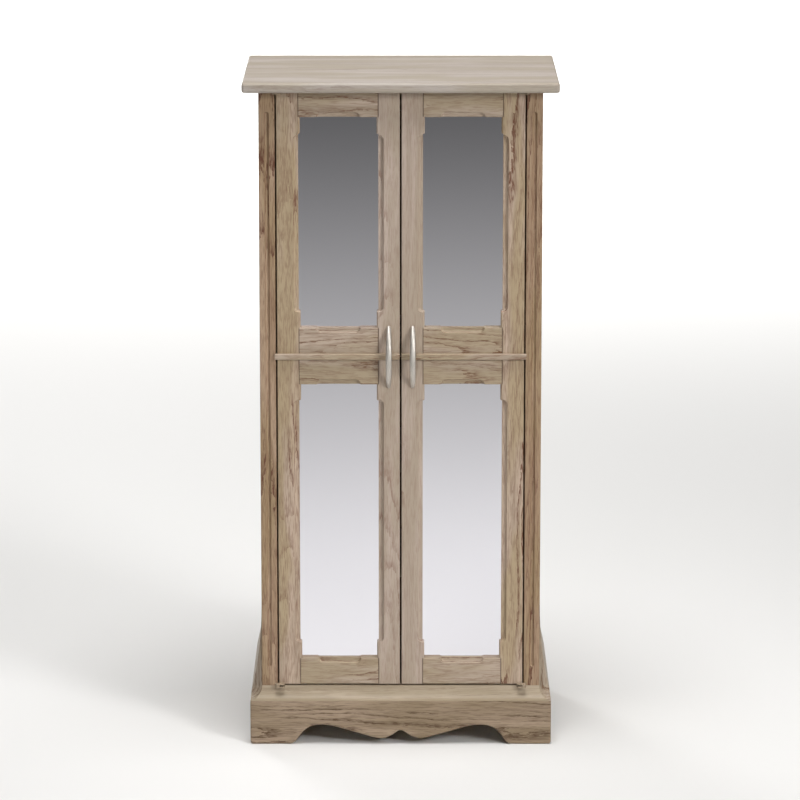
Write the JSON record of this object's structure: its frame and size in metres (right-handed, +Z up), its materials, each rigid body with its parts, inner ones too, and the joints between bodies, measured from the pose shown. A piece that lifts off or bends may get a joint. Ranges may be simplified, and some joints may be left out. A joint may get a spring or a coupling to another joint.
{
  "type": "armoire",
  "caption": "Two-door armoire with mirrored door panels, fluted face stiles, flared sides, a scalloped plinth and bow handles.",
  "frame": {"origin": "on the floor under the middle of the top slab", "axes": "+Z up, the doors face -Y, +X is the right-hand side as a person stands in front"},
  "size_m": [0.471, 0.32, 1.016],
  "materials": {
    "hardboard": "brown hardboard with a smooth face",
    "mirror_glass": "silvered plate glass with polished face",
    "satin_nickel": "satin nickel plate",
    "zinc_steel": "bright zinc plated steel",
    "lacquered_steel": "steel lacquered grey-brown to match the wood",
    "brass": "satin brass wire",
    "brown_plastic": "moulded brown plastic",
    "top_oak": "weathered grey-brown oak, matt",
    "plinth_oak": "weathered brown oak, matt",
    "stile_oak": "weathered grey-brown oak, matt",
    "rail_oak": "weathered grey-brown oak, matt",
    "side_oak": "weathered grey-brown oak, matt",
    "inside_wood": "pale stained board, matt"
  },
  "bodies": {
    "cabinet": {"back_nails": "zinc_steel", "back_panel": "hardboard", "base_moulding": "plinth_oak", "bottom_board": "inside_wood", "cabinet_hinge_leaves": "lacquered_steel", "cabinet_screws": "zinc_steel", "catch_housings": "brown_plastic", "catch_poles": "zinc_steel", "face_stile_left": "stile_oak", "face_stile_right": "stile_oak", "glue_blocks": "inside_wood", "hinge_washers": "lacquered_steel", "hook_rail": "inside_wood", "lower_shelf": "inside_wood", "middle_shelf": "inside_wood", "necklace_hooks": "brass", "shelf_pins": "zinc_steel", "side_panel_left": "side_oak", "side_panel_right": "side_oak", "skirt_back": "plinth_oak", "skirt_front": "plinth_oak", "skirt_side_left": "plinth_oak", "skirt_side_right": "plinth_oak", "top_front_rail": "inside_wood", "top_rear_rail": "inside_wood", "top_screws": "zinc_steel", "top_slab": "top_oak", "upper_shelf": "inside_wood"},
    "left_door": {"left_door_band": "rail_oak", "left_door_bottom_rail": "rail_oak", "left_door_handle": "satin_nickel", "left_door_handle_screws": "zinc_steel", "left_door_hinge_leaves": "lacquered_steel", "left_door_inner_stile": "stile_oak", "left_door_lower_mid_rail": "rail_oak", "left_door_lower_mirror": "mirror_glass", "left_door_mirror_backings": "hardboard", "left_door_outer_stile": "stile_oak", "left_door_small_screws": "zinc_steel", "left_door_strike_plate": "zinc_steel", "left_door_top_rail": "rail_oak", "left_door_turn_buttons": "zinc_steel", "left_door_upper_mid_rail": "rail_oak", "left_door_upper_mirror": "mirror_glass"},
    "right_door": {"right_door_band": "rail_oak", "right_door_bottom_rail": "rail_oak", "right_door_handle": "satin_nickel", "right_door_handle_screws": "zinc_steel", "right_door_hinge_leaves": "lacquered_steel", "right_door_inner_stile": "stile_oak", "right_door_lower_mid_rail": "rail_oak", "right_door_lower_mirror": "mirror_glass", "right_door_mirror_backings": "hardboard", "right_door_outer_stile": "stile_oak", "right_door_small_screws": "zinc_steel", "right_door_strike_plate": "zinc_steel", "right_door_top_rail": "rail_oak", "right_door_turn_buttons": "zinc_steel", "right_door_upper_mid_rail": "rail_oak", "right_door_upper_mirror": "mirror_glass"}
  },
  "joints": [
    {"name": "left_door_hinge", "type": "hinge", "parent": "cabinet", "child": "left_door", "pos_m": [-0.1875, -0.141, 0.545], "axis": [0, 0, -1], "range_deg": [0, 110]},
    {"name": "right_door_hinge", "type": "hinge", "parent": "cabinet", "child": "right_door", "pos_m": [0.1875, -0.141, 0.545], "axis": [0, 0, 1], "range_deg": [0, 110]}
  ]
}
